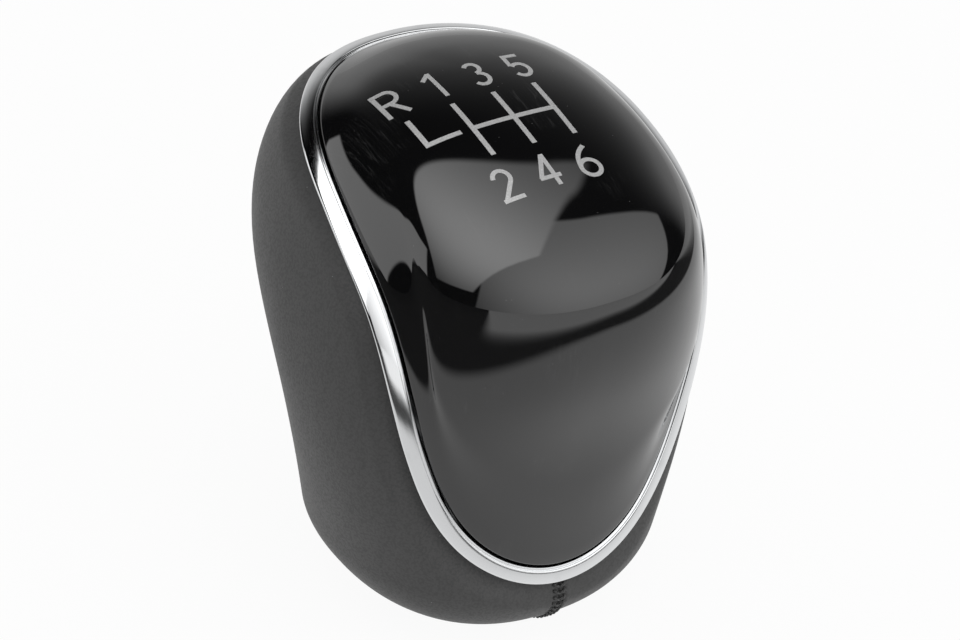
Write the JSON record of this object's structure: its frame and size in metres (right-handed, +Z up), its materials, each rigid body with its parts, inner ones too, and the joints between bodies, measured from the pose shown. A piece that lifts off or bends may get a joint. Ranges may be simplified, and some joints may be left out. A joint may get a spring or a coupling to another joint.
{
  "type": "gear shift knob",
  "caption": "Car gear shift knob: leather covered core, gloss cap with a shift pattern, and a bright trim ring between them.",
  "frame": {"origin": "centre of the collar's resting face, on the lever's axis", "axes": "+Z up along the lever's axis, -Y towards the driver, where the cap slopes down, and X = 0 is the mirror plane"},
  "size_m": [0.0632, 0.0762, 0.08],
  "materials": {
    "gloss_cap": "high gloss black",
    "bright_trim": "bright plated",
    "cover_leather": "fine grained, grey black",
    "thread": "twisted thread",
    "moulding": "matt black moulding",
    "insert_brass": "turned",
    "bush_rubber": "matt",
    "screw_steel": "zinc plated"
  },
  "bodies": {
    "root": {"top_cap": "gloss_cap", "chrome_bezel": "bright_trim", "cap_carrier": "moulding", "carrier_screws": "screw_steel", "leather_cover": "cover_leather", "seam_thread": "thread", "core_body": "moulding", "threaded_insert": "insert_brass", "lever_bush": "bush_rubber", "base_collar": "moulding", "collar_screws": "screw_steel"}
  },
  "joints": []
}
